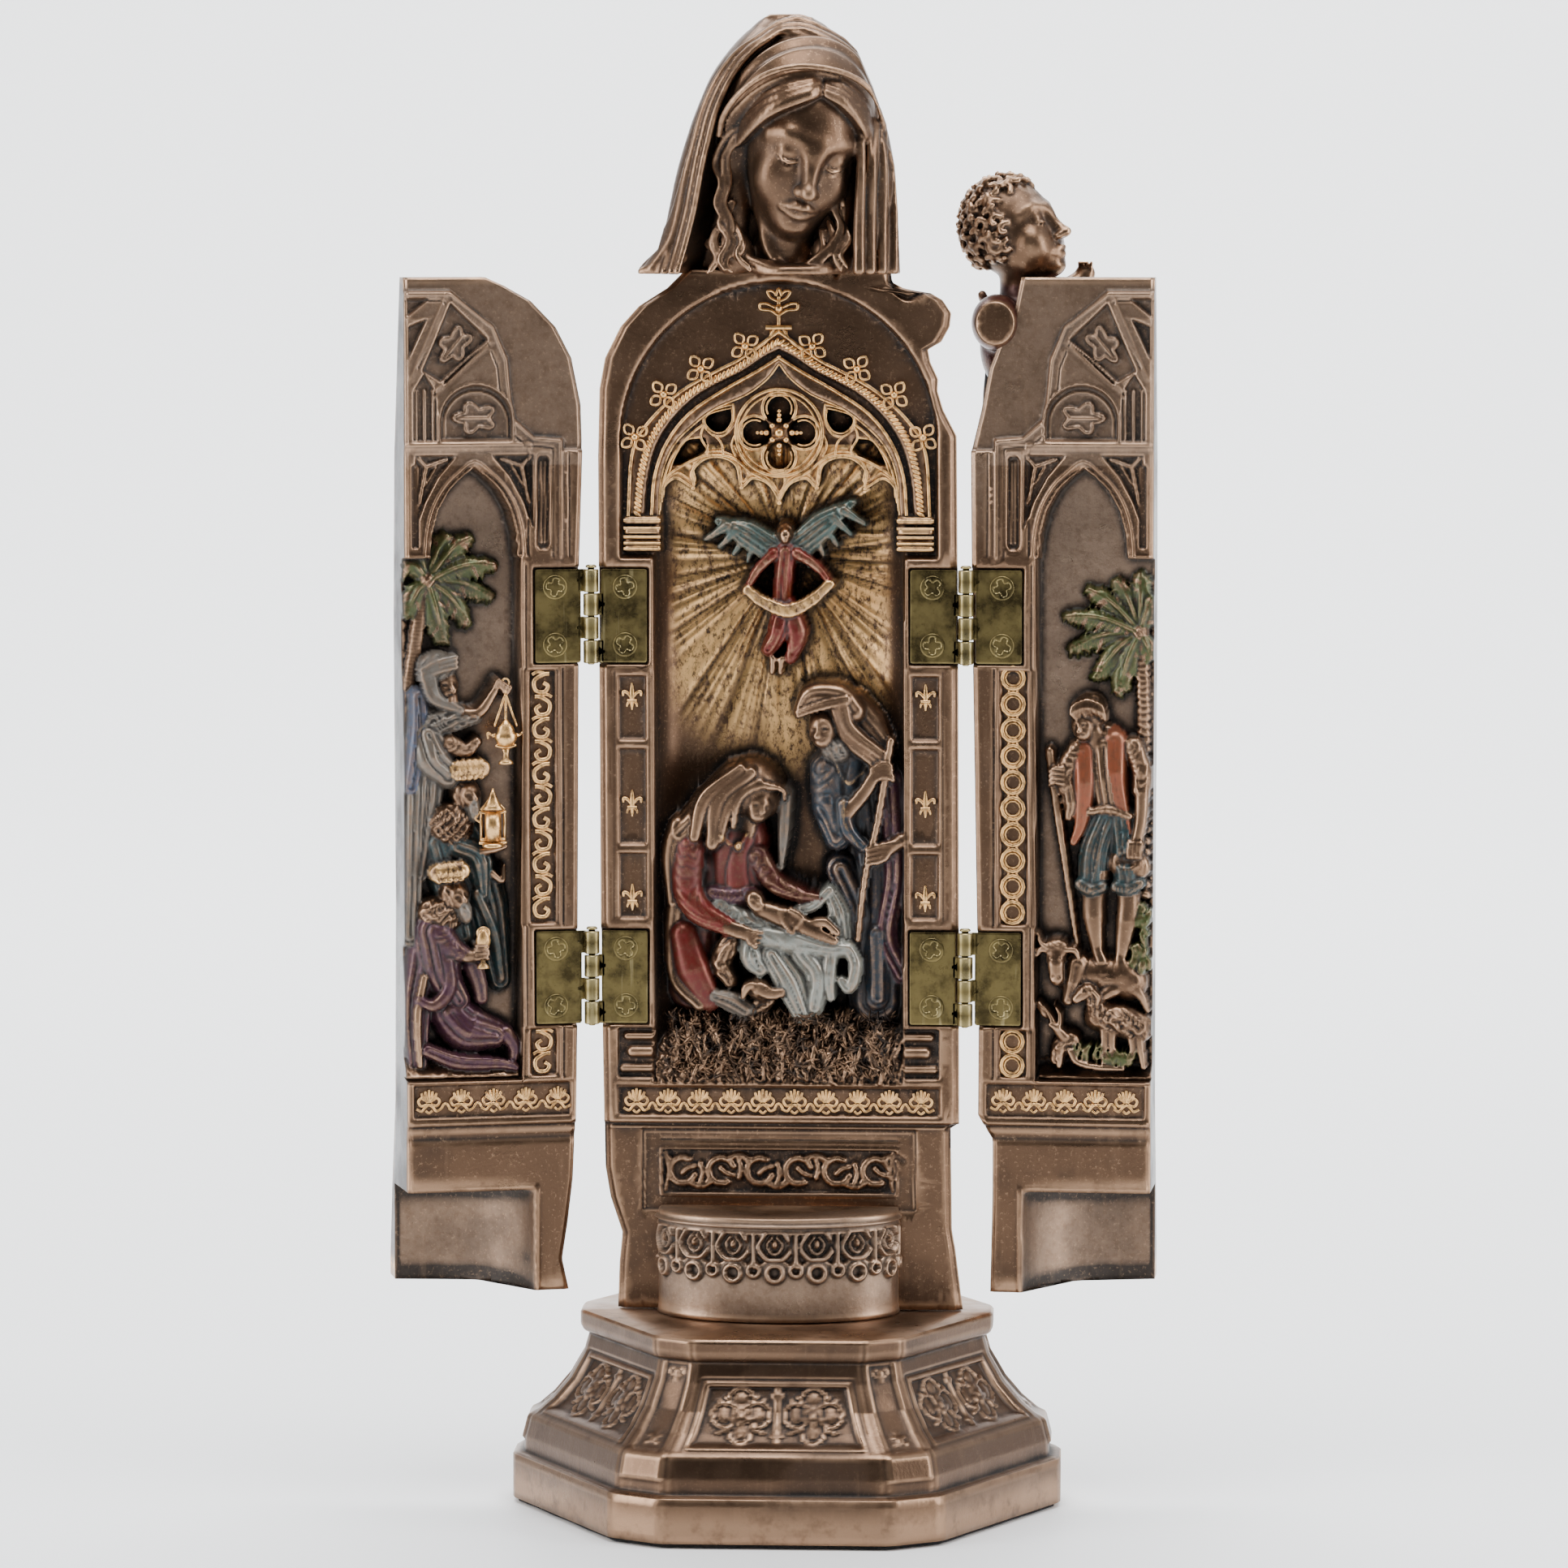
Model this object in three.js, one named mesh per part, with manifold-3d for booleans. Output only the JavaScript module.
// Triptych statuette: a veiled woman whose front opens as two doors on brass
// hinges, to show a nativity niche. She stands on a six-sided plinth.
// Millimetres, +Z up, front towards -Y. The origin is the centre of the underside.
// The casting (statue and doors) stands a little left of the middle of its plinth, and
// is drawn about its own middle.
import * as THREE from 'three';
import { mergeVertices } from 'three/addons/utils/BufferGeometryUtils.js';
import Module from 'manifold-3d';

const wasm = await Module();
wasm.setup();

// ---- driving dimensions -------------------------------------------------
const CAST_X = -1.5;            // middle of the casting, from the middle of the plinth
const FELT_THICK = 0.8;
const FELT_APOTHEM = 48.2;
const PLINTH_TOP = 37.9;
const STATUE_BASE = 38.2;       // 0.3 above the plinth
const SHOULDER_Z = 240.3;       // underside of the overhanging bust
const HEAD_TOP = 290;
const FACE_Y = -5;              // flat front of the centre casting
const PIN_X = 36.3;             // hinge pins, left and right of the centre
const PIN_OFF = 0.9;            // pins stand this far in front of the faces
const PIN_Y = FACE_Y - PIN_OFF;
const DOOR_Z0 = 42;
const DOOR_Z1 = 239.6;
const DOOR_W = 36;              // pin to free edge
const LEFT_OPEN = 14.5;         // degrees short of flat open, as it stands
const RIGHT_OPEN = 3.4;
const HINGE_Z = [174.1, 103.6];
const HINGE_H = 18.2;
const LEAF_W = 10.8;
const LEAF_THICK = 0.7;
const LEAF_SUNK = 0.1;          // leaf front, below the face
const BARREL_R = 1.5;
const PIN_R = 0.7;
const PLAY = 0.3;               // clearance between pieces that touch
const SCREW_R = 2.4;
const SCREW_THICK = 0.5;
const CROSS_R = 1.7;            // cross recess in a screw's head
const CROSS_DEEP = 0.3;
const SCREW_RISE = 5.6;         // screws, above and below the middle of a leaf
const DOOR_SCREW_A = 6.9;       // pin to screw, on a door and on the centre casting
const FRAME_SCREW_A = 6.5;
const DRUM_R = 24;
const DRUM_OUT = 15;
const DRUM_TOP = 58.5;
const POCKET_A = 11.2;          // pin to the side wall of the door's pocket
const POCKET_DEEP = 19.5;
const POCKET_TOP = 61.5;
const NICHE_R = 24.3;
const NICHE_DEEP = 13;
const NICHE_Z0 = 83;
const LUNETTE_R = 30.5;
const LUNETTE_SPRING = 208;
const LUNETTE_Z0 = 185.6;
const RECESS_DEEP = 7.5;
const RECESS_A = 13.6;
const SILL_Z = 83.8;
const ARCH_APEX_Z = 202.5;

const FINISH = {
  bronze: { color: 0x6e5544, roughness: 0.42, metalness: 0.85 },
  brass: { color: 0x8a7a45, roughness: 0.35, metalness: 0.9 },
  felt: { color: 0x151515, roughness: 1, metalness: 0 },
};

// ---- tools ----------------------------------------------------------------
function solid(geometry) {
  const bare = geometry.clone();
  bare.deleteAttribute('normal');
  bare.deleteAttribute('uv');
  const merged = mergeVertices(bare, 1e-4);
  return new wasm.Manifold(new wasm.Mesh({
    numProp: 3,
    vertProperties: new Float32Array(merged.attributes.position.array),
    triVerts: new Uint32Array(merged.index.array),
  }));
}

function join(parts) {
  return parts.reduce((sum, part) => sum.add(part));
}

function meshOf(name, body, finish) {
  const data = body.getMesh();
  const geometry = new THREE.BufferGeometry();
  geometry.setAttribute('position', new THREE.BufferAttribute(data.vertProperties, 3));
  geometry.setIndex(new THREE.BufferAttribute(data.triVerts, 1));
  const mesh = new THREE.Mesh(geometry, new THREE.MeshStandardMaterial(FINISH[finish]));
  mesh.name = name;
  return mesh;
}

// A closed body through rings of equal point count, lowest ring first,
// each ring anticlockwise seen from above.
function loft(rings) {
  const n = rings[0].length;
  const verts = rings.flat();
  const faces = [];
  for (let r = 0; r + 1 < rings.length; r++) {
    for (let i = 0; i < n; i++) {
      const a = r * n + i;
      const b = r * n + (i + 1) % n;
      faces.push(a, b, b + n, a, b + n, a + n);
    }
  }
  const cap = (start, flip) => {
    const flat = verts.slice(start, start + n).map((p) => new THREE.Vector2(p[0], p[1]));
    for (const [a, b, c] of THREE.ShapeUtils.triangulateShape(flat, [])) {
      faces.push(start + a, start + (flip ? c : b), start + (flip ? b : c));
    }
  };
  cap(0, true);
  cap((rings.length - 1) * n, false);
  const geometry = new THREE.BufferGeometry();
  geometry.setAttribute('position', new THREE.Float32BufferAttribute(verts.flat(), 3));
  geometry.setIndex(faces);
  return solid(geometry);
}

// An outline in (x, z), extruded from y = front to y = back.
function plate(outline, front, back, steps = 8) {
  const shape = outline instanceof THREE.Shape ? outline
    : new THREE.Shape(outline.map(([x, z]) => new THREE.Vector2(x, z)));
  const geometry = new THREE.ExtrudeGeometry(shape, {
    depth: back - front, bevelEnabled: false, curveSegments: steps,
  });
  geometry.rotateX(Math.PI / 2);
  geometry.translate(0, back, 0);
  return solid(geometry);
}

function block(x0, x1, y0, y1, z0, z1) {
  const geometry = new THREE.BoxGeometry(x1 - x0, y1 - y0, z1 - z0);
  geometry.translate((x0 + x1) / 2, (y0 + y1) / 2, (z0 + z1) / 2);
  return solid(geometry);
}

function ball(at, radii, tilt = 0, around = 5, down = 4) {
  const geometry = new THREE.SphereGeometry(1, around, down);
  geometry.rotateX(Math.PI / 2);
  geometry.scale(...radii);
  geometry.rotateY(tilt);
  geometry.translate(...at);
  return solid(geometry);
}

// A tapered round limb between two points.
function limb(from, to, r0, r1, sides = 5) {
  const a = new THREE.Vector3(...from);
  const b = new THREE.Vector3(...to);
  const geometry = new THREE.CylinderGeometry(r1, r0, a.distanceTo(b), sides);
  geometry.applyQuaternion(new THREE.Quaternion().setFromUnitVectors(
    new THREE.Vector3(0, 1, 0), b.clone().sub(a).normalize()));
  const middle = a.add(b).multiplyScalar(0.5);
  geometry.translate(middle.x, middle.y, middle.z);
  return solid(geometry);
}

// Outline points that alternate between an outer and an inner radius.
function star(points, outer, inner, turnBy, x = 0, z = 0) {
  return Array.from({ length: points }, (_, i) => {
    const turn = turnBy + (i / points) * 2 * Math.PI;
    const r = i % 2 ? inner : outer;
    return [x + r * Math.cos(turn), z + r * Math.sin(turn)];
  });
}

// A small pointed boss.
function boss(at, radii) {
  const geometry = new THREE.OctahedronGeometry(1);
  geometry.scale(...radii);
  geometry.translate(...at);
  return solid(geometry);
}

function rod(x, y, z0, z1, r, sides = 6) {
  const geometry = new THREE.CylinderGeometry(r, r, z1 - z0, sides);
  geometry.rotateX(Math.PI / 2);
  geometry.translate(x, y, (z0 + z1) / 2);
  return solid(geometry);
}

// Smooth interpolation through [z, value] pairs.
function along(table, z) {
  if (z <= table[0][0]) return table[0][1];
  for (let i = 1; i < table.length; i++) {
    if (z <= table[i][0]) {
      const t = (z - table[i - 1][0]) / (table[i][0] - table[i - 1][0]);
      return THREE.MathUtils.lerp(table[i - 1][1], table[i][1], t);
    }
  }
  return table[table.length - 1][1];
}

// A robed relief figure: folded skirt from the hem up to the shoulders.
function robe(hem, top, wide, deep, folds = 3, sides = 7) {
  const rings = [0, 0.85, 1].map((t, level) => {
    const spread = [1, 0.76, 0.4][level];
    const ring = [];
    for (let i = 0; i < sides; i++) {
      const turn = (i / sides) * 2 * Math.PI;
      const fold = 1 + 0.1 * (1 - t) * Math.cos(folds * turn);
      ring.push([
        THREE.MathUtils.lerp(hem[0], top[0], t) + wide * spread * fold * Math.cos(turn),
        THREE.MathUtils.lerp(hem[1], top[1], t) + deep * spread * fold * Math.sin(turn),
        THREE.MathUtils.lerp(hem[2], top[2], t),
      ]);
    }
    return ring;
  });
  return loft(rings);
}

// ---- plinth ---------------------------------------------------------------
const FACET = 1.089;            // corner facets stand this much further out
const PLINTH_PROFILE = [        // [height, distance of the main faces]
  [FELT_THICK, 49.3], [9.3, 49.3], [9.8, 48.5], [9.9, 47.3], [12.8, 47.2],
  [17, 46.2], [17.7, 45.2], [20.6, 42.1], [24.4, 39.1], [29.6, 36.4],
  [33.2, 35.5], [33.9, 36.6], [35, 37.1], [PLINTH_TOP - 0.5, 37.1], [PLINTH_TOP, 36.7],
];
const PANEL_Z = [18.9, 28.7];
const PANEL_SUNK = 0.9;

function plinthRing(apothem, z) {
  const ring = [];
  const half = 2 * FACET - Math.sqrt(3);
  for (let face = 0; face < 6; face++) {
    const turn = -Math.PI / 2 + face * Math.PI / 3;
    for (const side of [-1, 1]) {
      const x = apothem * Math.cos(turn) - side * half * apothem * Math.sin(turn);
      const y = apothem * Math.sin(turn) + side * half * apothem * Math.cos(turn);
      ring.push([x, y, z]);
    }
  }
  return ring;
}

function panelHalf(apothem) {
  return 0.446 * apothem - 3.4;
}

// The sunk panel of the front main face, with two four-lobed flowers in it.
function frontPanel() {
  const rings = [];
  for (let i = 0; i <= 2; i++) {
    const z = THREE.MathUtils.lerp(PANEL_Z[0], PANEL_Z[1], i / 2);
    const apothem = along(PLINTH_PROFILE, z);
    const w = panelHalf(apothem);
    const floor = -(apothem - PANEL_SUNK);
    rings.push([[-w, -apothem - 3, z], [w, -apothem - 3, z], [w, floor, z], [-w, floor, z]]);
  }
  return loft(rings);
}

function quatrefoil(x) {
  const middleZ = (PANEL_Z[0] + PANEL_Z[1]) / 2;
  const slope = Math.atan2(
    along(PLINTH_PROFILE, PANEL_Z[0]) - along(PLINTH_PROFILE, PANEL_Z[1]), PANEL_Z[1] - PANEL_Z[0]);
  const outline = star(8, 4.8, 2.7, 0).map(([a, b]) => new THREE.Vector2(a, b));
  const geometry = new THREE.ExtrudeGeometry(new THREE.Shape(outline), { depth: 2.2, bevelEnabled: false });
  geometry.rotateX(Math.PI / 2 - slope);
  geometry.translate(x, -(along(PLINTH_PROFILE, middleZ) - 0.7), middleZ);
  return solid(geometry);
}

function buildPlinth() {
  let body = loft(PLINTH_PROFILE.map(([z, apothem]) => plinthRing(apothem, z)));
  const panel = frontPanel();
  const flowers = join([quatrefoil(-6.9), quatrefoil(6.9)]);
  for (let face = 0; face < 6; face++) {
    body = body.subtract(panel.rotate([0, 0, face * 60]));
    body = body.add(flowers.rotate([0, 0, face * 60]));
  }
  return body;
}

// ---- centre casting --------------------------------------------------------
// Edges of the flat face at each height.
const FACE_LEFT = [
  [38, -31.6], [47, -31.3], [53, -30.7], [60, -33], [66, -34], [115, -34.7], [205, -35], [218, -34.7],
  [224, -33.6], [230, -30.6], [234, -27], [237.5, -21.5], [241, -18],
];
const FACE_RIGHT = [
  [38, 36], [50, 34.5], [54, 33.8], [74, 33.5], [75, 35.2], [165, 34.8], [209, 34.4], [214, 31.8],
  [220, 30.6], [224, 29], [228, 28.5], [234, 25], [237, 22.5], [241, 21.5],
];
const BACK_DEPTH = [[38, 25], [44, 26], [60, 23], [100, 20], [150, 19], [200, 20], [225, 19], [241, 17]];
const BODY_LEVELS = [
  STATUE_BASE, 51, 64, 74, 76, 115, 165, 209, 217, 225, 230, 236, SHOULDER_Z + 0.9,
];
const BACK_COLUMNS = 14;

// Half-round section behind the face, with upright folds that fade to its edges.
function backRing(z) {
  const left = along(FACE_LEFT, z);
  const right = along(FACE_RIGHT, z);
  const deep = along(BACK_DEPTH, z);
  const ring = [];
  for (let i = 0; i <= BACK_COLUMNS; i++) {
    const turn = (i / BACK_COLUMNS) * Math.PI;
    const fold = 1 + 0.08 * Math.cos(7 * turn + z / 60) * Math.sin(turn);
    ring.push([
      (left + right) / 2 + ((right - left) / 2) * Math.cos(turn),
      FACE_Y + deep * Math.pow(Math.sin(turn), 0.75) * fold,
      z,
    ]);
  }
  return ring;
}

// Bust: edges of the veil, its middle in depth, and its reach to front and back.
const VEIL_LEFT = [
  [240.3, -27.5], [242, -26.3], [245, -23], [250, -21.7], [261, -19.4], [270, -16.7], [279, -12.9],
  [286, -7.4], [289, -3.5], [290, -1.5],
];
const VEIL_RIGHT = [
  [240.3, 23.2], [252, 22.8], [261, 22.1], [269, 20.5], [276, 17.9], [283, 14.9], [287, 11],
  [289, 7.5], [290, 4],
];
const VEIL_BACK = [[240, 17], [262, 17.5], [275, 15], [284, 9], [290, 1.5]];
const VEIL_FRONT = [[240, 14.5], [250, 13], [262, 15], [272, 15.5], [280, 12.5], [287, 7], [290, 1.5]];
const VEIL_LEVELS = [SHOULDER_Z, 245, 252, 262, 272, 280, 286.5, HEAD_TOP];
const VEIL_COLUMNS = 14;
const VEIL_Y = -2.5;

function veilRing(z) {
  const left = along(VEIL_LEFT, z);
  const right = along(VEIL_RIGHT, z);
  const ring = [];
  for (let i = 0; i < VEIL_COLUMNS; i++) {
    const turn = (i / VEIL_COLUMNS) * 2 * Math.PI;
    const reach = Math.sin(turn) > 0 ? along(VEIL_BACK, z) : along(VEIL_FRONT, z);
    const fold = 1 + 0.03 * Math.cos(VEIL_COLUMNS / 2 * turn);
    ring.push([
      (left + right) / 2 + ((right - left) / 2) * Math.cos(turn) * fold,
      VEIL_Y + reach * Math.sin(turn) * fold,
      z,
    ]);
  }
  return ring;
}

// Hollow of the hood: [height, half width, middle], and where its sides turn inwards.
const HOOD_LEVELS = [[252, 7, 2.2], [260, 12.4, 2.6], [274, 12.6, 2.7], [283.5, 3, 3.6]];
const HOOD_Y = -9;
const HEAD = { at: [3.4, -6.5, 264], radii: [10.2, 11.2, 14.4], tilt: 0.12 };

function buildBust() {
  const veil = loft(VEIL_LEVELS.map(veilRing));
  const hollow = loft(HOOD_LEVELS.map(([z, wide, x]) => [
    [x - wide, HOOD_Y - 16, z], [x + wide, HOOD_Y - 16, z], [x + wide, HOOD_Y, z],
    [x + wide * 0.6, HOOD_Y + 5, z], [x - wide * 0.6, HOOD_Y + 5, z], [x - wide, HOOD_Y, z],
  ]));
  const parts = [
    veil.subtract(hollow),
    ball(HEAD.at, HEAD.radii, HEAD.tilt, 9, 7),
    boss([3.9, -17.2, 262.6], [1.6, 2.2, 3.2]),
    limb([1.6, -5, 241.5], [3.2, -6.5, 256], 6.2, 5, 6),
    ball([0.6, -6.8, 275.3], [10.6, 9.4, 5.6], 0.3, 7, 4),
  ];
  for (const side of [-1, 1]) {
    parts.push(ball([2.8 + side * 10.4, -11.5, 266], [3.2, 4.4, 9], side * 0.2));
    parts.push(ball([2.8 + side * 10, -12, 251], [3.2, 4.4, 8], side * -0.15));
  }
  return join(parts);
}

// Gothic band: two mirrored ogee curves around the top of the niche. Each bends
// inwards through OGEE_BEND and flicks up to the point over OGEE_FLICK of its rise.
const OGEE_BEND = 0.42 * Math.PI;
const OGEE_FLICK = 0.32;
const OGEE_STEPS = 7;

function ogeeEdge(spread, apex, spring) {
  const half = [];
  for (let i = 0; i < OGEE_STEPS; i++) {
    const t = i / OGEE_STEPS;
    const inward = Math.cos(t * OGEE_BEND) - Math.cos(OGEE_BEND) * t * t;
    const round = Math.sin(t * OGEE_BEND) / Math.sin(OGEE_BEND);
    const rise = round * (1 - OGEE_FLICK) + Math.pow(t, 6) * OGEE_FLICK;
    half.push([spread * inward, spring + (apex - spring) * rise]);
  }
  const otherHalf = half.map(([x, z]) => [-x, z]).reverse();
  return [...half, [0, apex], ...otherHalf];
}

function ringBand(x, z, outer, inner, front, back, sides) {
  const shape = new THREE.Shape();
  shape.absarc(x, z, outer, 0, 2 * Math.PI);
  const hole = new THREE.Path();
  hole.absarc(x, z, inner, 0, 2 * Math.PI, true);
  shape.holes.push(hole);
  return plate(shape, front, back, sides);
}

const ROSE_Z = 209.8;
const OGEE = { spread: 29.3, apex: 230.5, spring: 193.2 };

function nicheCut() {
  const levels = [[NICHE_Z0, 1], [196, 1], [205, 0.86], [212, 0.6], [219, 0.1]];
  const hollow = loft(levels.map(([z, size]) => {
    const wide = NICHE_R * size;
    const ring = [[-wide, FACE_Y - 1, z], [wide, FACE_Y - 1, z]];
    for (let i = 0; i <= 8; i++) {
      const turn = (i / 8) * Math.PI;
      ring.push([wide * Math.cos(turn), FACE_Y + NICHE_DEEP * Math.pow(size * Math.sin(turn), 0.6), z]);
    }
    return ring;
  }));
  const lunette = new THREE.Shape();
  lunette.moveTo(-LUNETTE_R, LUNETTE_Z0);
  lunette.lineTo(LUNETTE_R, LUNETTE_Z0);
  lunette.lineTo(LUNETTE_R, LUNETTE_SPRING);
  lunette.absarc(0, LUNETTE_SPRING, LUNETTE_R, 0, Math.PI);
  return hollow.add(plate(lunette, FACE_Y - 1, FACE_Y + 2.6, 6));
}

function gothicCrown() {
  const parts = [
    plate(ogeeEdge(OGEE.spread, OGEE.apex, OGEE.spring), FACE_Y + 0.3, FACE_Y + 3.4)
      .subtract(plate(ogeeEdge(OGEE.spread - 5, OGEE.apex - 7.5, OGEE.spring - 1), FACE_Y - 1, FACE_Y + 4)),
    ringBand(0, ROSE_Z, 8.6, 7.1, FACE_Y + 0.6, FACE_Y + 13, 6),
    block(-1.3, 1.3, FACE_Y + 0.6, FACE_Y + 3, 228, 236),
    boss([0, FACE_Y + 1.6, 231], [2.6, 1.6, 1]),
    boss([0, FACE_Y + 1.6, 234.2], [3.4, 1.6, 1.4]),
  ];
  parts.push(plate(star(8, 7.3, 3.4, 0, 0, ROSE_Z), FACE_Y + 1.4, FACE_Y + 13));
  for (const side of [-1, 1]) {
    for (const [x, z] of [[6.5, 226.8], [15.3, 222.4], [22.3, 217], [27.8, 209.2]]) {
      parts.push(boss([side * x, FACE_Y + 2, z], [2.8, 1.7, 2.8]));
    }
    const capital = side > 0 ? [22.8, 29.7] : [-29.7, -22.8];
    for (const z of [188, 190.1, 192.2]) {
      parts.push(block(...capital, FACE_Y + 0.2, FACE_Y + 3.2, z - 0.8, z + 0.8));
    }
  }
  return join(parts);
}

function angel() {
  const y = FACE_Y + 7;
  const parts = [
    robe([1, y, 165], [1.2, y, 187.8], 3.6, 6.5, 4),
    ball([1.2, y - 2.2, 189.9], [1.9, 2.8, 2.8]),
  ];
  for (const side of [-1, 1]) {
    const hand = [1.7 + side * 8.3, y - 2.6, 179.4];
    const wing = [[1, 186.5], [5, 190], [13.2, 195.6], [11.5, 190.5], [8, 185.5], [4.5, 180], [1, 181]];
    parts.push(plate(wing.map(([x, z]) => [side * x + 1.2, z]), y - 0.6, y + 6));
    parts.push(limb([1.2 + side * 2.4, y - 0.5, 185.8], hand, 1.5, 0.9, 4));
    parts.push(limb(hand, [2, y - 2.8, 175.8], 1.5, 1.7, 4));
  }
  return join(parts);
}

function nativity() {
  const y = FACE_Y + 5.5;
  return join([
    // bearded man, standing at the right with his staff
    robe([16.5, y + 2, 86], [13.2, y + 1.5, 149.5], 7.8, 7, 4, 9),
    ball([9, y - 2, 151.6], [3.6, 4.2, 5], 0.35),
    ball([11.4, y, 153], [5.2, 4.6, 6.6], 0.3),
    limb([17.6, y, 140], [20.2, y - 3.4, 144.4], 2.4, 1.5, 4),
    limb([12, y, 141], [18.6, y - 3, 127], 3, 1.6, 4),
    limb([21.4, y - 4, 150], [14.6, y - 4, 100], 0.7, 0.7, 4),
    // kneeling woman at the left
    robe([-14, y + 1, 86], [-13, y + 2, 135], 8.8, 7.5, 4, 9),
    ball([-5, y - 2.4, 137.6], [3.3, 3.8, 4.4], -0.35),
    ball([-9.6, y, 135.6], [7.2, 5, 9.4], 0.55, 7, 5),
    limb([-16.5, y - 1, 124], [-9.4, y - 4.4, 111.5], 3.2, 1.7),
    limb([-9, y - 2, 124], [3, y - 4, 119.6], 2.6, 1.5, 4),
    // the child on its cloth
    ball([4, y - 2, 104], [11.4, 5.4, 9.6], 0.4, 8, 5),
    ball([-5.2, y - 3, 117.6], [2.6, 2.6, 2.3]),
    limb([-4.5, y - 3, 115.6], [8.5, y - 3.6, 111.5], 3, 2.4),
    // lamb's head, looking out of the straw
    ball([-4, y - 5, 100.4], [2, 2.4, 2.2]),
    limb([-4, y - 3, 99], [-4.4, y - 4, 92], 2, 2.8, 4),
  ]);
}

function straw(left, right, depth, low, high, face) {
  const columns = 7;
  const rings = [];
  for (const [t, swell] of [[0, 0.75], [0.45, 0.95], [1, 0.3]]) {
    const ring = [];
    for (let i = 0; i <= columns; i++) {
      const x = THREE.MathUtils.lerp(left, right, i / columns);
      const bump = 0.8 * Math.sin(i * 2.3 + t * 9);
      ring.push([x, face - depth * swell + bump, low + (high - low) * t + 0.6 * bump * t]);
    }
    ring.push([right, face + 1, low + (high - low) * t], [left, face + 1, low + (high - low) * t]);
    rings.push(ring);
  }
  return loft(rings);
}

function mirrored(make) {
  return make(1).add(make(-1));
}

function faceDetail() {
  const cuts = [];
  const span = (side, a, b) => (side > 0 ? [a, b] : [-b, -a]);
  for (const side of [-1, 1]) {
    for (const [z0, z1] of [[149.6, 162.6], [129.3, 148.5], [114.8, 128.2]]) {
      cuts.push(block(...span(side, 25.6, 31.2), FACE_Y - 1, FACE_Y + 0.8, z0, z1));
    }
    cuts.push(block(...span(side, 24.4, 31.4), FACE_Y - 1, FACE_Y + 2.4, 86, 92));
  }
  cuts.push(block(-31.4, 31.4, FACE_Y - 1, FACE_Y + 0.8, 76.5, 82));
  cuts.push(block(-40, 40, FACE_Y - 1, FACE_Y + 1.4, 30, 74.9));
  cuts.push(block(-26.8, 26.8, FACE_Y - 1, FACE_Y + 1.9, 58, 73.8));
  cuts.push(block(-22.9, 22.9, FACE_Y - 1, FACE_Y + 3, 60.8, 69.4));
  return join(cuts);
}

function scrollBand() {
  const parts = [];
  for (let i = 0; i < 6; i++) {
    parts.push(plate(star(10, 3.9, 2.4, i * 0.5, -18.6 + i * 7.45, 65.2), FACE_Y + 2, FACE_Y + 4));
  }
  return join(parts);
}

// Half-round dais in front of the casting, with a scalloped lace band.
function drumRing(r, z) {
  const ring = [];
  for (let i = 0; i <= 10; i++) {
    const turn = Math.PI + (i / 10) * Math.PI;
    ring.push([r * Math.cos(turn), FACE_Y + (DRUM_OUT - DRUM_R + r) * Math.sin(turn), z]);
  }
  ring.push([r, FACE_Y + 5, z], [-r, FACE_Y + 5, z]);
  return ring;
}

function drum() {
  const parts = [loft([[DRUM_R, STATUE_BASE], [DRUM_R, DRUM_TOP - 0.5], [DRUM_R - 0.5, DRUM_TOP]]
    .map(([r, z]) => drumRing(r, z)))];
  for (let i = 0; i < 7; i++) {
    const turn = 1.5 * Math.PI + (i - 3) * 0.4;
    parts.push(boss([(DRUM_R - 0.6) * Math.cos(turn), FACE_Y + (DRUM_OUT - 0.6) * Math.sin(turn), 50.5],
      [3, 1.3, 3.6]));
  }
  return join(parts);
}

function hingeRecess(z, side, width = LEAF_W) {
  const deep = LEAF_SUNK + LEAF_THICK + PLAY;
  const edge = PIN_X - width - PLAY;
  return block(...(side > 0 ? [edge, PIN_X + 6] : [-PIN_X - 6, -edge]),
    FACE_Y - 1, FACE_Y + deep, z - HINGE_H / 2 - PLAY, z + HINGE_H / 2 + PLAY);
}

function buildStatue() {
  let body = loft(BODY_LEVELS.map(backRing));
  body = body.add(ball([28.6, FACE_Y + 4, 230.4], [4.9, 9, 5.6], 0, 10, 6));
  body = body.subtract(block(20, 40, FACE_Y - 20, FACE_Y, 220, SHOULDER_Z));
  body = body.subtract(nicheCut()).subtract(faceDetail());
  for (const z of HINGE_Z) {
    body = body.subtract(hingeRecess(z, 1)).subtract(hingeRecess(z, -1));
  }
  return join([
    body, buildBust(), gothicCrown(), angel(), nativity(), scrollBand(), drum(),
    straw(0.6 - NICHE_R, NICHE_R - 0.6, 9, NICHE_Z0 - 0.5, 95.5, FACE_Y + 9),
    mirrored((side) => boss([side * 27.8, FACE_Y + 1.7, 89], [2.8, 1.3, 2.2])),
  ]);
}

// ---- doors ------------------------------------------------------------------
// In a door's own frame the pin is the origin, X runs to the free edge of the
// right-hand door, the inner face is at y = PIN_OFF and the carved outside is
// behind it. The left-hand door is the mirror image of that plan.
const DOOR_LEVELS = [DOOR_Z0, 50, 62, 76, 110, 150, 186, 207, 217, 224, 230, 235, DOOR_Z1];
const DOOR_DEPTH = [
  [42, 26], [46, 26], [60, 23], [78, 18], [120, 16], [172, 17], [204, 15], [228, 9.5], [240, 6.5],
];
const LEFT_EDGE = [
  [42, 4.4], [48, 5.7], [55, 4.6], [64, 3.5], [76, 3], [94, 2.7], [184, 2.1], [208, 1.3], [215, 1.5],
  [224, 3.3], [230, 6.4], [235, 11.2], [238, 16.5], [240, 21],
];
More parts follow.
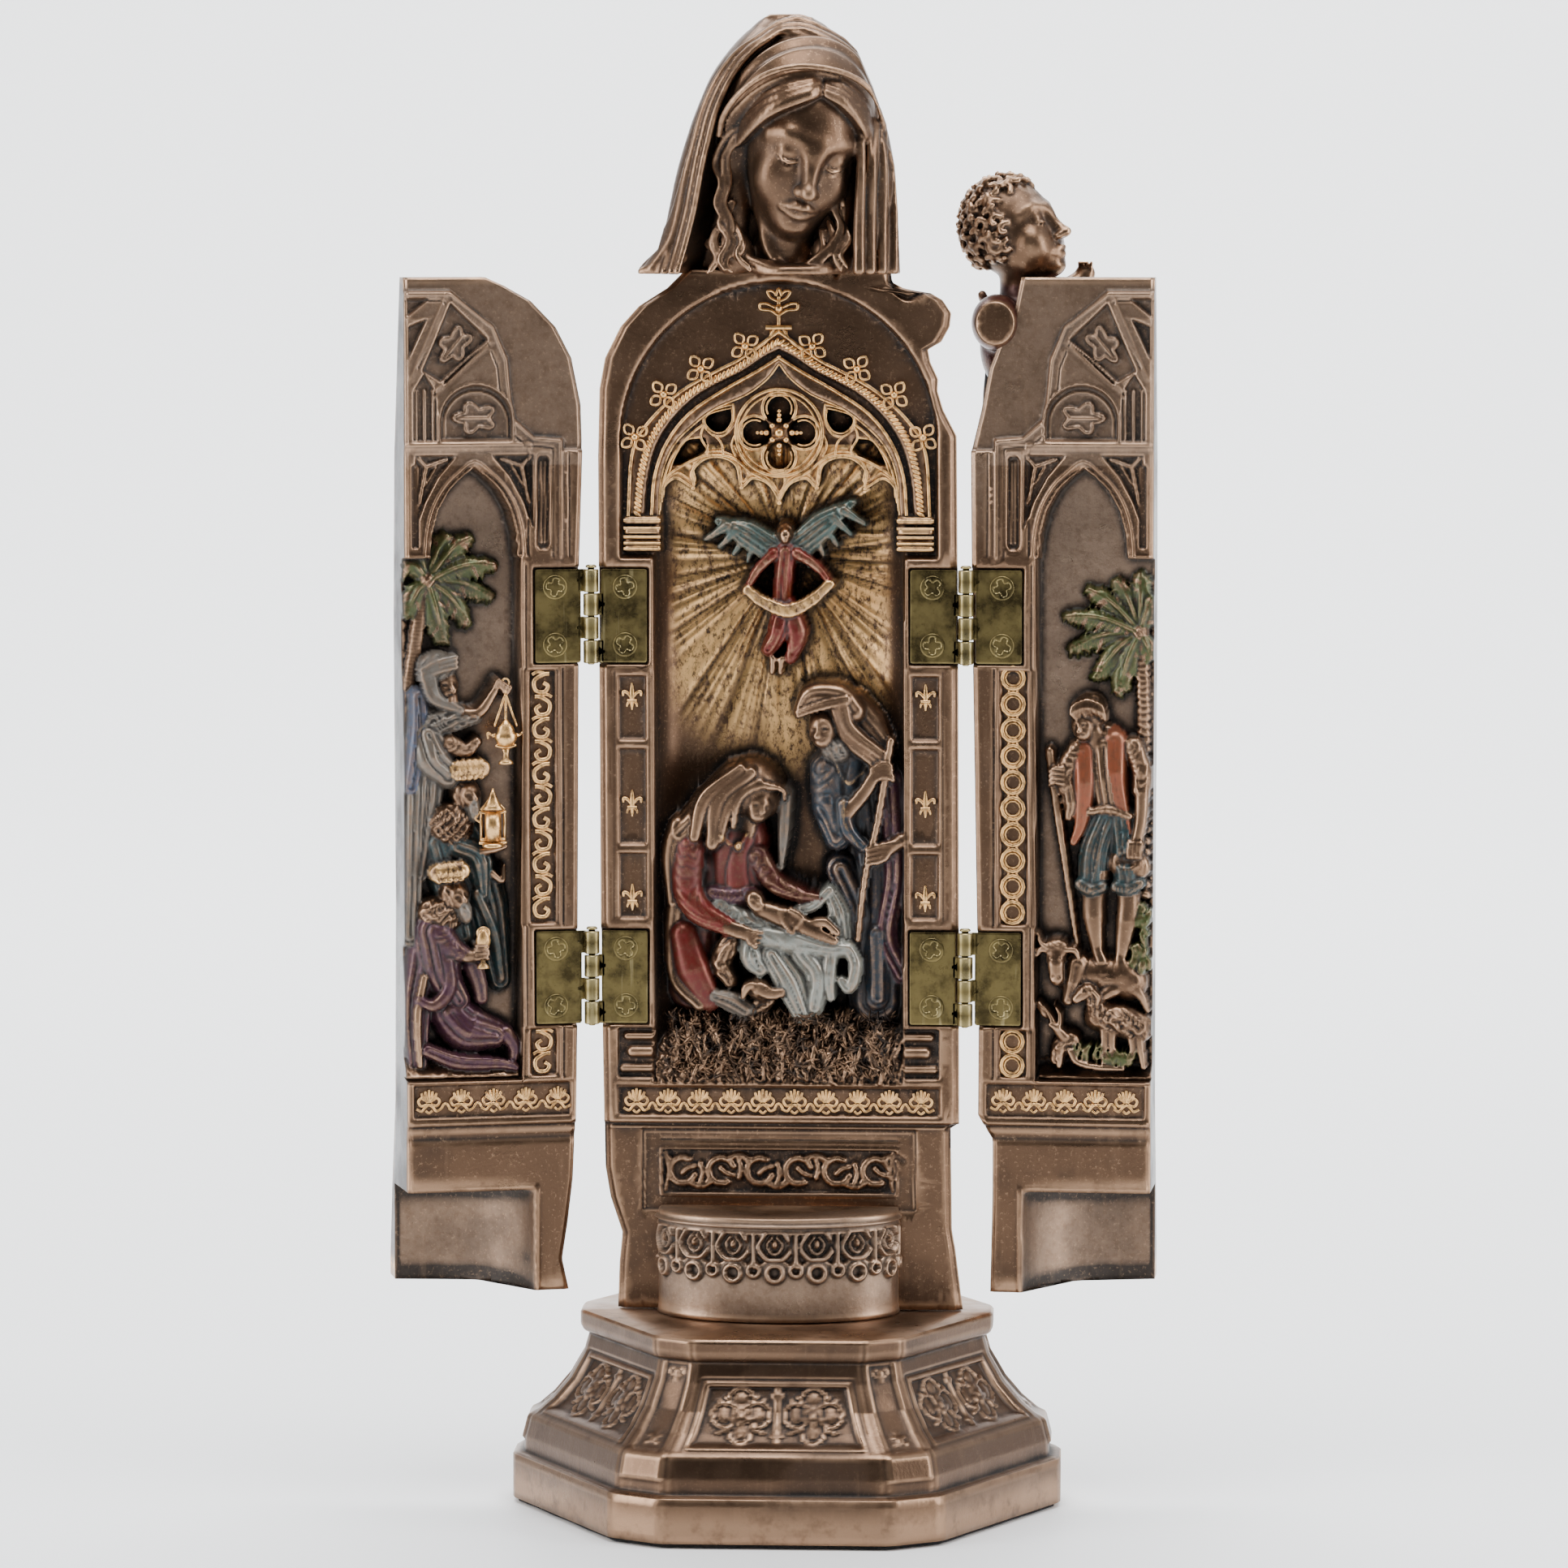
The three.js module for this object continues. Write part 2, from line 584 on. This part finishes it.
const RIGHT_EDGE = [
  [42, 4.9], [60, 5.3], [72, 5.3], [77, 2.5], [94, 2.6], [164, 1.3], [184, 1], [206, 0.8], [214, 2.7],
  [222, 4.2], [228, 6.5], [232, 8.8], [240, 10.4],
];
const DOOR_COLUMNS = 8;

function doorRing(z, edges, phase) {
  const edge = along(edges, z);
  const deep = along(DOOR_DEPTH, z);
  const ring = [[edge, PIN_OFF, z], [DOOR_W, PIN_OFF, z]];
  for (let i = 0; i <= DOOR_COLUMNS; i++) {
    const x = THREE.MathUtils.lerp(DOOR_W, edge, i / DOOR_COLUMNS);
    const inward = DOOR_W - x;
    const round = Math.pow(1 - Math.pow(inward / (DOOR_W + 2), 2.4), 1 / 2.4);
    const fold = 1 + 0.07 * Math.cos((x / DOOR_W) * 16 + z / 45 + phase) * Math.min(1, inward / 6);
    ring.push([x, PIN_OFF + deep * round * fold, z]);
  }
  return ring;
}

function pointedArch(x0, x1, spring, apex, steps = 4) {
  const points = [];
  const middle = (x0 + x1) / 2;
  for (let i = 0; i <= steps; i++) {
    const t = i / steps;
    points.push([x1 + (middle - x1) * Math.pow(t, 1.7), spring + (apex - spring) * t]);
  }
  for (let i = steps - 1; i >= 0; i--) {
    const t = i / steps;
    points.push([x0 + (middle - x0) * Math.pow(t, 1.7), spring + (apex - spring) * t]);
  }
  return points;
}

function doorCuts() {
  const f = PIN_OFF;
  const cuts = [];
  // the recess behind the figures, open at the free edge, with a pointed head
  const recess = [
    [RECESS_A, SILL_Z], [DOOR_W + 1, SILL_Z], [DOOR_W + 1, 185.3], [31, 185.3],
    ...pointedArch(14, 31, 185.4, ARCH_APEX_Z).slice(1, -1), [RECESS_A, 185.3],
  ];
  cuts.push(plate(recess, f - 1, f + RECESS_DEEP));
  // pocket for the drum
  const pocket = [];
  for (const z of [DOOR_Z0 - 1, POCKET_TOP]) {
    const ring = [[POCKET_A, f - 1, z], [DOOR_W + 1, f - 1, z], [DOOR_W + 1, f + POCKET_DEEP, z]];
    for (let i = 1; i <= 7; i++) {
      const turn = (i / 7) * Math.PI / 2;
      ring.push([DOOR_W - (DOOR_W - POCKET_A) * Math.sin(turn), f + POCKET_DEEP * Math.cos(turn), z]);
    }
    pocket.push(ring);
  }
  cuts.push(loft(pocket));
  // frieze field and the step below it
  cuts.push(block(6, DOOR_W + 1, f - 1, f + 0.8, 76.6, 82.8));
  cuts.push(block(-1, DOOR_W + 1, f - 1, f + 1, DOOR_Z0 - 1, 75));
  // upright groove and slot panel
  const groove = [[7.8, 188], [9.2, 186.8], [10.4, 188], [10.4, 204], [9.2, 205.4], [7.8, 204]];
  cuts.push(plate(groove, f - 1, f + 1));
  cuts.push(block(12.6, 13.4, f - 1, f + 0.8, 114, 163.6));
  cuts.push(block(4.8, 5.6, f - 1, f + 0.8, 114, 163.6));
  // tracery: spandrels, round-headed field, upper fields and corner
  for (const side of [-1, 1]) {
    const x = 22.5;
    const spandrel = [[x + side * 4.6, 205], [x + side * 11.2, 205], [x + side * 11.2, 193.5]];
    cuts.push(plate(spandrel, f - 1, f + 0.9));
  }
  const roundHead = [
    [29, 208.8], [29, 214], [27, 217.2], [22.5, 218.6], [18, 217], [16.2, 213], [15.6, 208.8],
  ];
  cuts.push(plate(roundHead, f - 1, f + 1));
  cuts.push(plate([[28.4, 219.6], [33.6, 221.5], [26.6, 234], [20, 228], [25, 222.5]], f - 1, f + 1));
  cuts.push(plate([[35, 224.5], [35, 230], [31.6, 231.4]], f - 1, f + 0.9));
  cuts.push(plate([[35.2, 232.4], [35.2, 235.4], [31.6, 235.4]], f - 1, f + 0.9));
  for (const x of [30.6, 32.7]) {
    cuts.push(block(x, x + 0.7, f - 1, f + 0.8, 208.8, 217.6));
  }
  return join(cuts);
}

// Outer field above the tracery frame stands a little lower than the frame.
function shoulderField() {
  const inner = [[15, 212], [15.8, 217], [16.4, 224], [19, 230], [27.3, 237]];
  return plate([[-6, 206.5], [5.2, 206.5], [5.2, 208.4], [10.4, 208.4], [13, 209.6], ...inner,
    [DOOR_W + 1, 237], [DOOR_W + 1, 245], [-6, 245]], PIN_OFF - 1, PIN_OFF + 1.1);
}

function leafMotif(x, z, turnBy) {
  return plate(star(10, 4.2, 1.5, turnBy, x, z), PIN_OFF + 0.4, PIN_OFF + 1.6);
}

// A palm against the back of the recess: a leaning trunk under a crown of fronds.
function palm(foot, crown, reach, low) {
  const y = PIN_OFF + RECESS_DEEP;
  const fronds = star(16, reach, 3.2, -Math.PI / 2, ...crown).map(([x, z]) => [
    x, z - 0.012 * (x - crown[0]) ** 2,
  ]);
  const trunk = limb([foot, y - 1.4, low], [crown[0], y - 1.4, crown[1]], 1.5, 1.1);
  return trunk.add(plate(fronds, y - 2.4, y + 1));
}

function kings() {
  const y = PIN_OFF + 4.6;
  return join([
    // the standing king, with his censer held out
    robe([32.4, y + 1, 112], [31.4, y + 1, 159.4], 4.2, 4.2),
    ball([30.2, y - 0.6, 163], [2.8, 3, 3.6]),
    limb([30.5, y - 0.5, 155.5], [24.8, y - 1, 155], 2.2, 1.8, 4),
    limb([25.2, y - 1, 155], [18, y, 159], 1.9, 1.1, 4),
    limb([17.9, y + 1, 159.6], [17.2, y + 1, 151], 0.7, 0.7, 4),
    boss([17, y + 1, 150.6], [2.4, 2.8, 3]),
    // the second king, with crown and lantern
    robe([23.6, y + 0.5, 88], [24.6, y + 0.5, 136.6], 8.4, 4.6, 4, 8),
    ball([24, y - 1, 138.6], [2.8, 3, 3.8]),
    rod(23.7, y - 0.6, 140.6, 144.6, 2.3),
    limb([26.5, y - 1.5, 130], [20, y - 2.6, 129], 2.2, 1.4, 4),
    rod(18.9, y, 129.6, 137, 2.3),
    // the kneeling king, with his cup
    robe([27, y, 84.5], [29, y, 117], 8.6, 4.6, 4, 8),
    ball([21, y, 91], [7.4, 4.6, 7], 0.5),
    ball([28, y - 1.4, 119], [2.8, 3, 4]),
    rod(28, y - 0.9, 121.6, 125.4, 2.4),
    limb([29, y - 1.6, 112.6], [22, y - 2.8, 108], 2.3, 1.5, 4),
    limb([21.2, y - 1.6, 107], [21.2, y - 1.6, 112.6], 1, 1.8),
  ]);
}

function beast(body, head, legs, size) {
  const y = PIN_OFF + 4.6;
  const parts = [
    ball([body[0], y, body[1]], [size * 1.5, 4, size * 0.8]),
    ball([head[0], y - 1.2, head[1]], [size * 0.7, 2.4, size * 0.6], 0.3),
  ];
  for (const x of legs) {
    parts.push(limb([x, y, body[1]], [x, y, SILL_Z - 0.6], 0.95, 0.8, 4));
  }
  return join(parts);
}

function shepherd() {
  const y = PIN_OFF + 4.2;
  return join([
    robe([27.4, y + 1, 122], [26, y + 0.6, 152.4], 4.8, 4.2, 4, 8),
    ball([23.8, y - 0.6, 155.4], [3, 3.4, 4.4]),
    limb([24, y - 0.5, 148.4], [20.4, y - 0.6, 140.5], 1.9, 1.5, 4),
    limb([20.8, y - 0.6, 140.3], [17, y - 0.4, 143], 1.6, 1.1, 4),
    limb([30.4, y - 0.4, 147.5], [33.2, y - 1, 128], 2, 2.2),
    limb([25, y, 124], [24.2, y, 106.5], 2.6, 1.5),
    limb([29.6, y, 124], [31, y, 105.5], 2.6, 1.5),
    limb([16.6, y, 148.6], [21.5, y, 104], 0.8, 0.8, 4),
    ball([25, y + 2.6, 99], [11, 4.4, 10.4], 0.3, 7, 4),
    ball([33, y + 2, 112], [3.6, 3.6, 6.6]),
    beast([28, 104], [19.4, 107], [], 5.2),
    beast([30, 94.6], [24.4, 99], [26.6, 33.6], 3.7),
    beast([20, 90.8], [17.8, 93.6], [20], 2.7),
  ]);
}

// The small child carried on the outside of the right-hand door.
function child() {
  const y = PIN_OFF;
  const parts = [
    ball([8.4, y + 12, 247.2], [9.6, 9.4, 9.7], -0.5, 9, 7),
    limb([10.4, y + 13, 232], [9.6, y + 12.4, 242], 5.4, 4.4, 6),
    ball([12.5, y + 12, 226], [11.5, 9.5, 11.5], 0.3, 8, 5),
    ball([15, y + 14, 210], [9.5, 9, 12], -0.35, 7, 5),
    ball([21, y + 15, 200.5], [10.5, 7.5, 6.5], 0.5, 6, 4),
    limb([17, y + 16, 228], [21.6, y + 17.4, 240.4], 3.6, 2),
    ball([5.4, y + 3, 230.8], [5, 8, 5.6], 0, 9, 5),
  ];
  for (let i = 0; i < 3; i++) {
    const turn = 1.6 + i * 1.1;
    const curl = [6.2 + 5 * Math.cos(turn), y + 10, 249 + 4.4 * Math.sin(turn)];
    parts.push(ball(curl, [5.2, 7.6, 5.2], turn, 6, 4));
  }
  return join(parts);
}

function buildDoor(side, edges, extras, phase) {
  let body = loft(DOOR_LEVELS.map((z) => doorRing(z, edges, phase)));
  body = body.subtract(doorCuts()).subtract(shoulderField());
  for (const z of HINGE_Z) {
    body = body.subtract(block(-2, LEAF_W + PLAY, PIN_OFF - 1, PIN_OFF + LEAF_SUNK + LEAF_THICK + PLAY,
      z - HINGE_H / 2 - PLAY, z + HINGE_H / 2 + PLAY));
  }
  body = join([body, leafMotif(26.4, 226.6, 1.2), leafMotif(22.4, 212.4, 1.57), ...extras]);
  const slab = block(-8, DOOR_W, PIN_OFF, 60, DOOR_Z0 - 5, 300);
  body = body.intersect(slab);
  return side > 0 ? body : body.mirror([1, 0, 0]);
}

// ---- hinges -------------------------------------------------------------------
const KNUCKLES = 4;

// One leaf, drawn to +X from the pin, with its own two of the four knuckles.
function buildLeaf(first, side) {
  const pitch = HINGE_H / KNUCKLES;
  const front = PIN_OFF + LEAF_SUNK;
  const parts = [block(BARREL_R + PLAY, LEAF_W, front, front + LEAF_THICK, -HINGE_H / 2, HINGE_H / 2)];
  let holes = null;
  for (let k = first; k < KNUCKLES; k += 2) {
    const top = HINGE_H / 2 - k * pitch - (k > 0 ? PLAY / 2 : 0);
    const low = HINGE_H / 2 - (k + 1) * pitch + (k < KNUCKLES - 1 ? PLAY / 2 : 0);
    parts.push(rod(0, 0, low, top, BARREL_R, 8));
    parts.push(block(0, BARREL_R + 2 * PLAY, front, front + 0.45, low, top));
    const hole = rod(0, 0, low - 1, top + 1, PIN_R + PLAY);
    holes = holes ? holes.add(hole) : hole;
  }
  const leaf = join(parts).subtract(holes);
  return side > 0 ? leaf : leaf.mirror([1, 0, 0]);
}

function buildPin() {
  return rod(0, 0, -HINGE_H / 2 - 0.3, HINGE_H / 2 + PLAY, PIN_R * 0.95)
    .add(rod(0, 0, HINGE_H / 2 + PLAY, HINGE_H / 2 + 0.9, PIN_R + 0.4));
}

function buildScrew(turn) {
  const cross = plate(star(8, CROSS_R, 0.35 * CROSS_R, 0), -1, CROSS_DEEP - SCREW_THICK);
  return plate(star(8, SCREW_R, SCREW_R, 0), -SCREW_THICK, 0).subtract(cross.rotate([0, turn, 0]));
}

// ---- assembly ---------------------------------------------------------------
const altarpiece = new THREE.Group();
const casting = new THREE.Group();
casting.position.x = CAST_X;
altarpiece.add(casting);

const felt = loft([0, FELT_THICK - PLAY].map((z) => plinthRing(FELT_APOTHEM, z)));
altarpiece.add(meshOf('felt_pad', felt, 'felt'));
altarpiece.add(meshOf('plinth', buildPlinth(), 'bronze'));
casting.add(meshOf('statue', buildStatue(), 'bronze'));

const DOORS = [
  {
    name: 'left', side: -1, open: LEFT_OPEN, edges: LEFT_EDGE, phase: 0,
    extras: () => [palm(36, [31.6, 176], 13, 148), kings()],
  },
  {
    name: 'right', side: 1, open: -RIGHT_OPEN, edges: RIGHT_EDGE, phase: 1.2,
    extras: () => [palm(34.8, [33.4, 171], 13.5, 117), shepherd(), child()],
  },
];

function place(holder, name, body, finish, x, y, z) {
  const mesh = meshOf(name, body, finish);
  mesh.position.set(x, y, z);
  holder.add(mesh);
}

// Both leaves, the pin and the four screws of one hinge. No two screws stop at one angle.
function addHinge(swing, prefix, side, z, level) {
  place(swing, `${prefix}_door_leaf`, buildLeaf(0, side), 'brass', 0, 0, z);
  place(casting, `${prefix}_frame_leaf`, buildLeaf(1, -side), 'brass', side * PIN_X, PIN_Y, z);
  place(casting, `${prefix}_pin`, buildPin(), 'brass', side * PIN_X, PIN_Y, z);
  const seat = LEAF_SUNK - PLAY;
  const doorX = side * DOOR_SCREW_A;
  const frameX = side * (PIN_X - FRAME_SCREW_A);
  ['top', 'bottom'].forEach((row, index) => {
    const screwZ = z + (index === 0 ? SCREW_RISE : -SCREW_RISE);
    const doorScrew = buildScrew(20 + 37 * index + 50 * level);
    place(swing, `${prefix}_door_screw_${row}`, doorScrew, 'brass', doorX, PIN_OFF + seat, screwZ);
    const frameScrew = buildScrew(65 + 29 * index + 70 * level);
    place(casting, `${prefix}_frame_screw_${row}`, frameScrew, 'brass', frameX, FACE_Y + seat, screwZ);
  });
}

for (const { name, side, open, edges, phase, extras } of DOORS) {
  const swing = new THREE.Group();
  swing.position.set(side * PIN_X, PIN_Y, 0);
  swing.rotation.z = THREE.MathUtils.degToRad(open);
  casting.add(swing);
  swing.add(meshOf(`${name}_door`, buildDoor(side, edges, extras(), phase), 'bronze'));
  HINGE_Z.forEach((z, level) => {
    addHinge(swing, `${level === 0 ? 'upper' : 'lower'}_${name}`, side, z, level);
  });
}

export default altarpiece;
